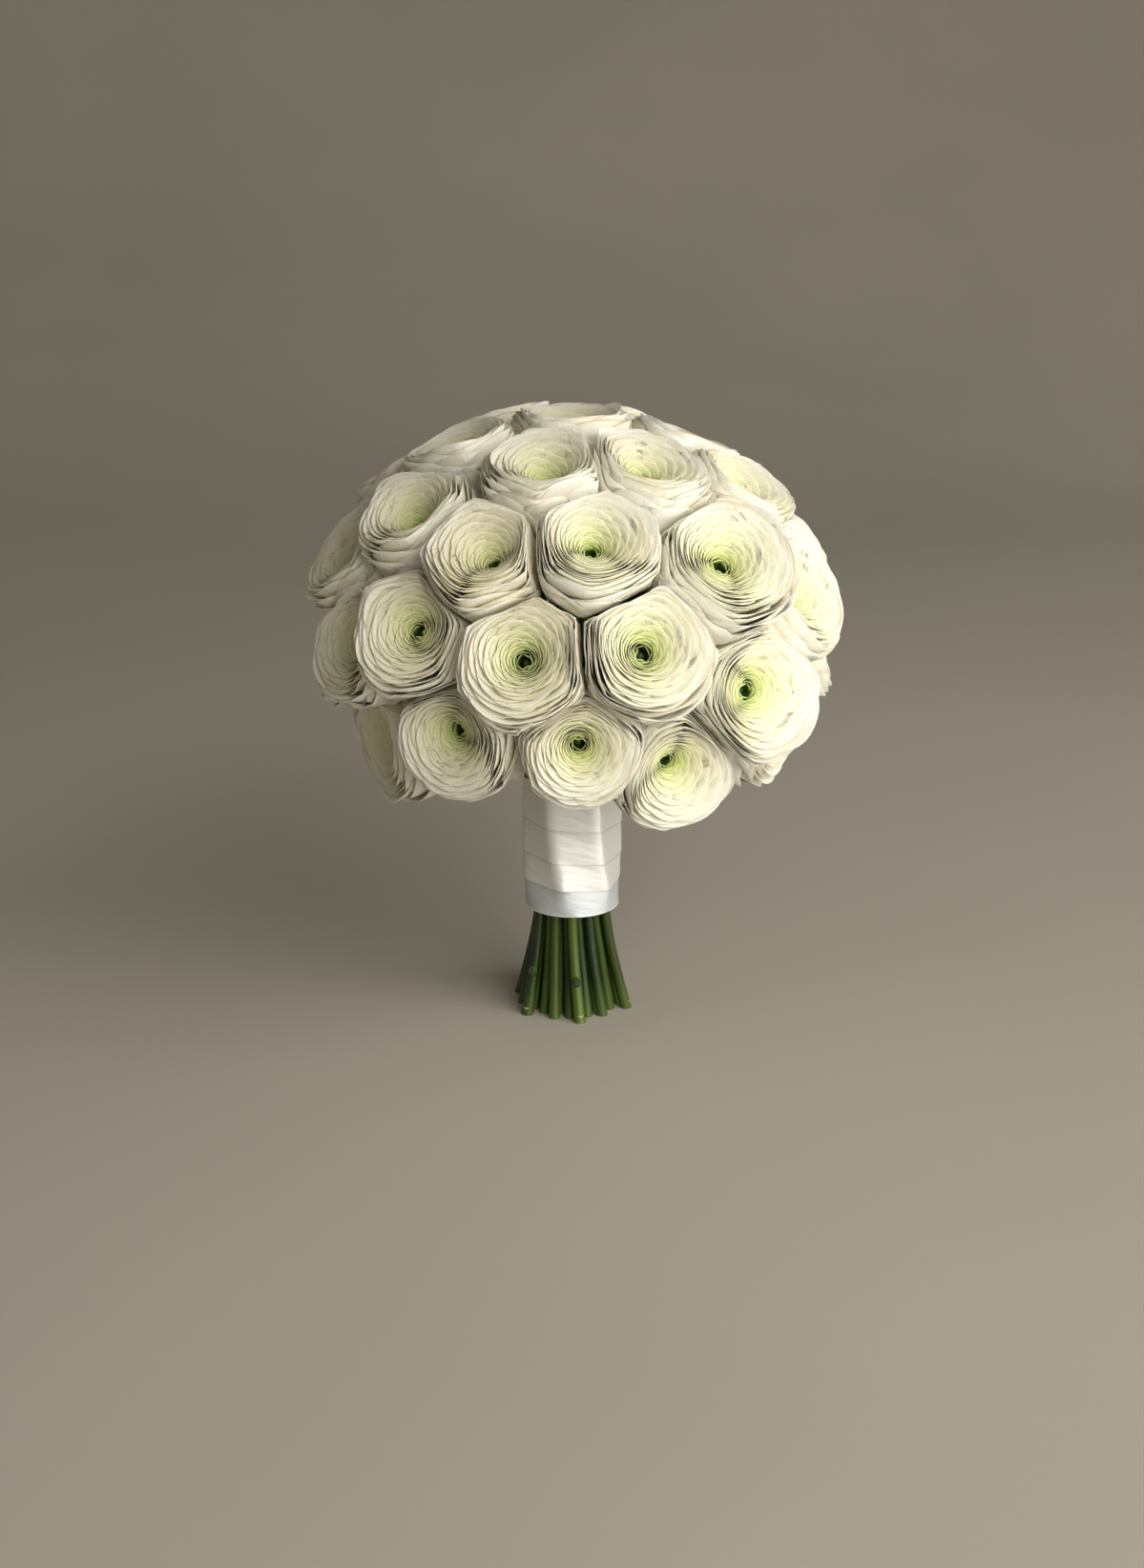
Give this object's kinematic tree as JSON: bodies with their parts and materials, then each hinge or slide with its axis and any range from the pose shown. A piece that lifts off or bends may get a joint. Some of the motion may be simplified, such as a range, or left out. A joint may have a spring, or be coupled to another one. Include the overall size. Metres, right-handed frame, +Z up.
{
  "type": "bridal bouquet",
  "caption": "Round hand-tied bridal bouquet of white ranunculus blooms on green stems cut flat, its handle wrapped in satin ribbon.",
  "frame": {"origin": "middle of the cut stem ends, on the surface that they stand on", "axes": "+Z up along the handle to the crown of the blooms, -Y towards the front of the bouquet, as the picture shows it, +X to the right"},
  "size_m": [0.2561, 0.2543, 0.2997],
  "materials": {
    "petals": "soft matt ivory petals, pale lime green in the heart of each bloom",
    "stems": "smooth, slightly glossy dark green stems, paler where they are cut",
    "tape": "matt waxed green binding tape",
    "ribbon": "ivory satin ribbon with a soft sheen"
  },
  "bodies": {
    "root": {"bloom_01": "petals", "bloom_02": "petals", "bloom_03": "petals", "bloom_04": "petals", "bloom_05": "petals", "bloom_06": "petals", "bloom_07": "petals", "bloom_08": "petals", "bloom_09": "petals", "bloom_10": "petals", "bloom_11": "petals", "bloom_12": "petals", "bloom_13": "petals", "bloom_14": "petals", "bloom_15": "petals", "bloom_16": "petals", "bloom_17": "petals", "bloom_18": "petals", "bloom_19": "petals", "bloom_20": "petals", "bloom_21": "petals", "bloom_22": "petals", "bloom_23": "petals", "bloom_24": "petals", "bloom_25": "petals", "bloom_26": "petals", "bloom_27": "petals", "bloom_28": "petals", "bloom_29": "petals", "bloom_30": "petals", "bloom_31": "petals", "bloom_32": "petals", "bloom_33": "petals", "bloom_34": "petals", "bloom_35": "petals", "bloom_36": "petals", "bloom_37": "petals", "bloom_38": "petals", "bloom_39": "petals", "bloom_40": "petals", "bloom_41": "petals", "bloom_42": "petals", "bloom_43": "petals", "stems_middle": "stems", "stems_1": "stems", "stems_2": "stems", "stems_3": "stems", "stems_4": "stems", "stems_5": "stems", "stems_6": "stems", "binding_tape": "tape", "ribbon_wrap": "ribbon"}
  },
  "joints": []
}
